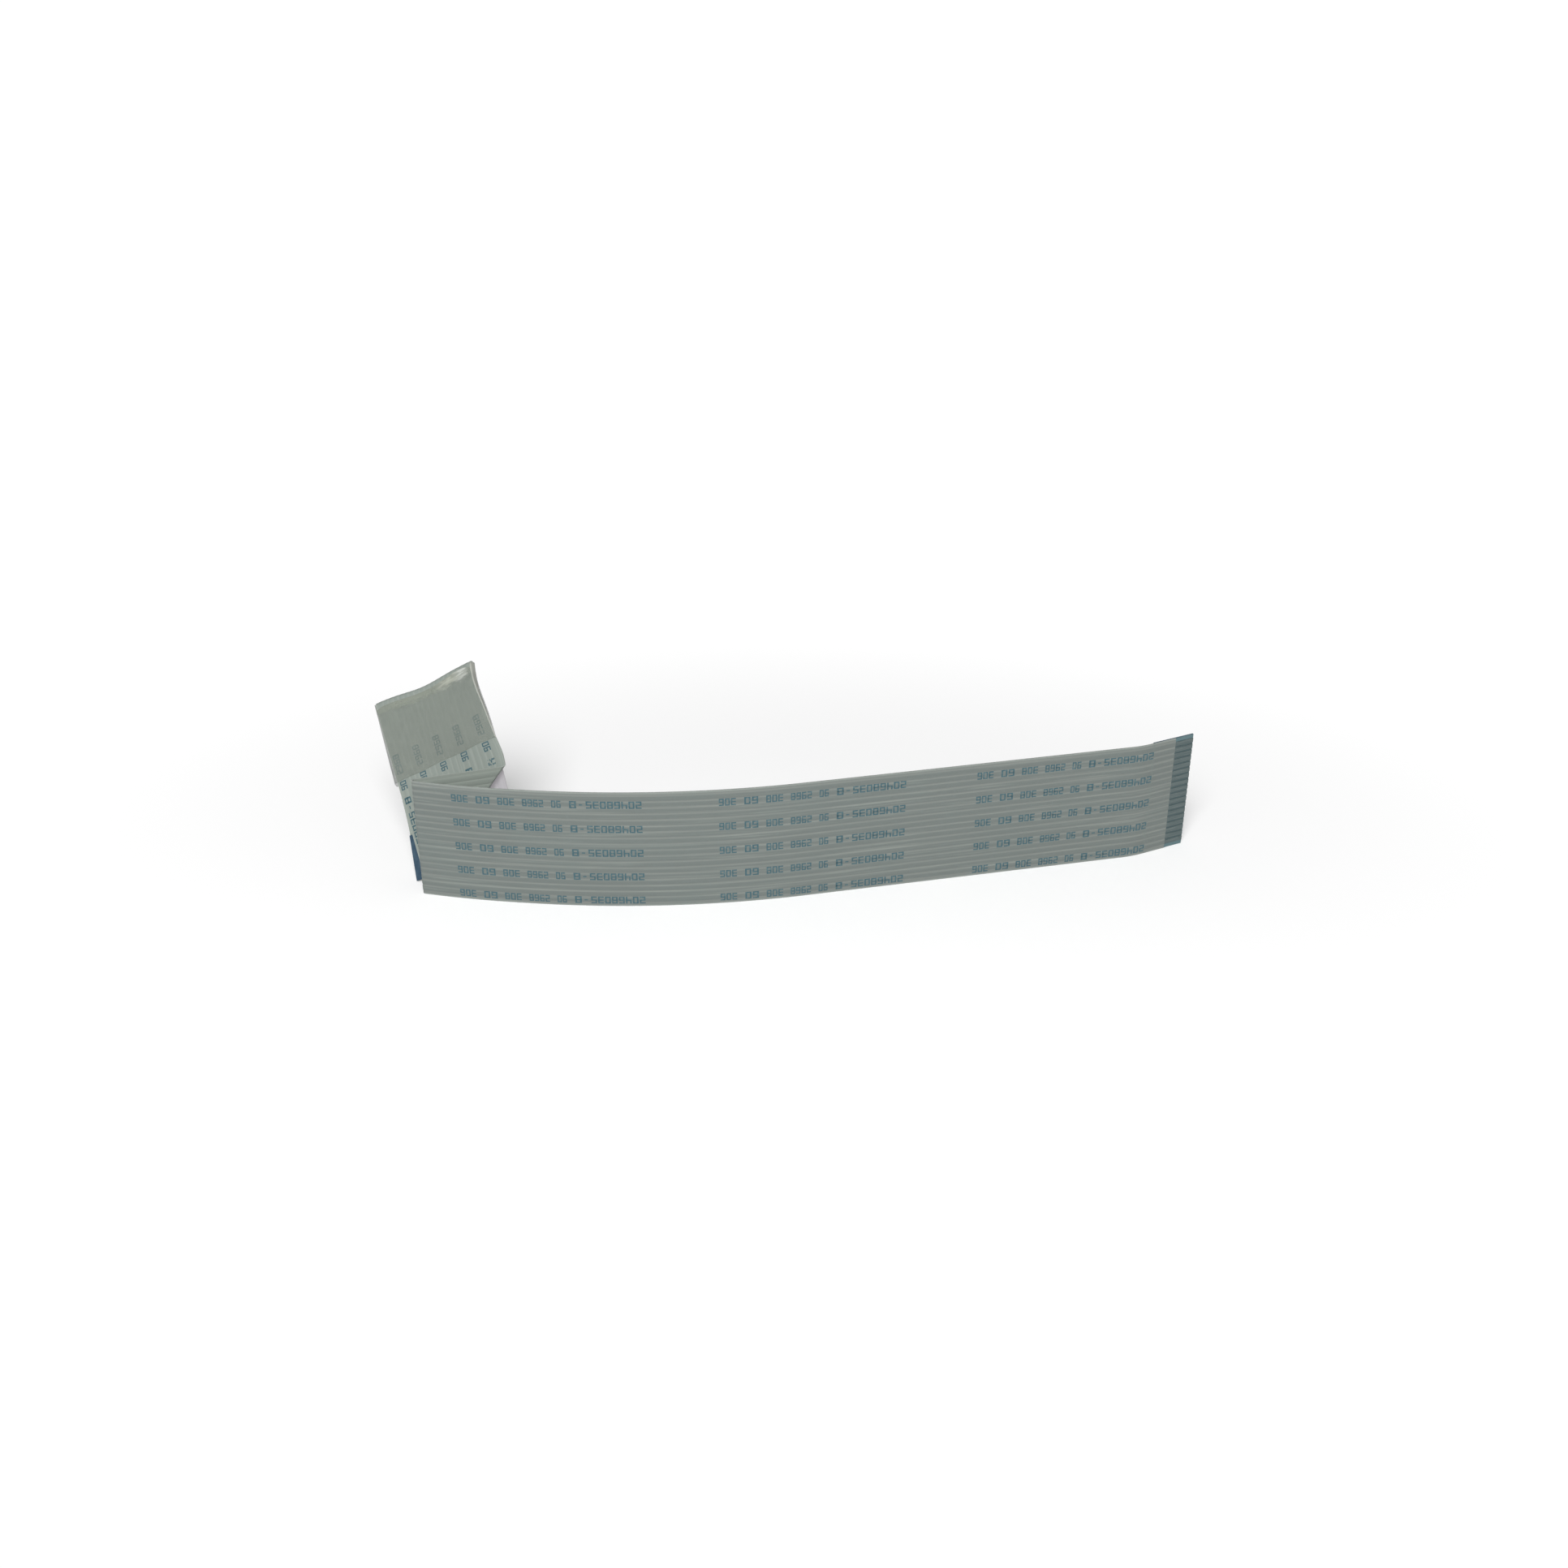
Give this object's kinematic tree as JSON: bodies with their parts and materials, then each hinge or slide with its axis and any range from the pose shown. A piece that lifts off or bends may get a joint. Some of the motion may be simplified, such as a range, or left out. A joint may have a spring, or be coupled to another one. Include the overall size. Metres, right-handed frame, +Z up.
{
  "type": "ribbon cable",
  "caption": "Flat flexible cable standing on its edge in a shallow curve, folded back and taped at one end, with stiffened bare contact ends.",
  "frame": {"origin": "middle of the outline, on the surface that the cable stands on", "axes": "+X along the long leg towards the open contact end, +Y towards the side that the flap leans to, +Z up"},
  "size_m": [0.123, 0.0236, 0.0312],
  "materials": {
    "front_film": "satin laminated polyester film, the grey conductors showing through",
    "back_film": "satin laminated polyester film, unprinted",
    "conductor": "tinned copper, rolled flat",
    "stiffener": "blue polyester stiffener",
    "tape": "clear tape with a satin face"
  },
  "bodies": {
    "root": {"front_film": "front_film", "back_film": "back_film", "conductor_01": "conductor", "conductor_02": "conductor", "conductor_03": "conductor", "conductor_04": "conductor", "conductor_05": "conductor", "conductor_06": "conductor", "conductor_07": "conductor", "conductor_08": "conductor", "conductor_09": "conductor", "conductor_10": "conductor", "conductor_11": "conductor", "conductor_12": "conductor", "conductor_13": "conductor", "conductor_14": "conductor", "conductor_15": "conductor", "conductor_16": "conductor", "conductor_17": "conductor", "conductor_18": "conductor", "end_stiffener": "stiffener", "tail_stiffener": "stiffener", "wrap_tape": "tape"}
  },
  "joints": []
}
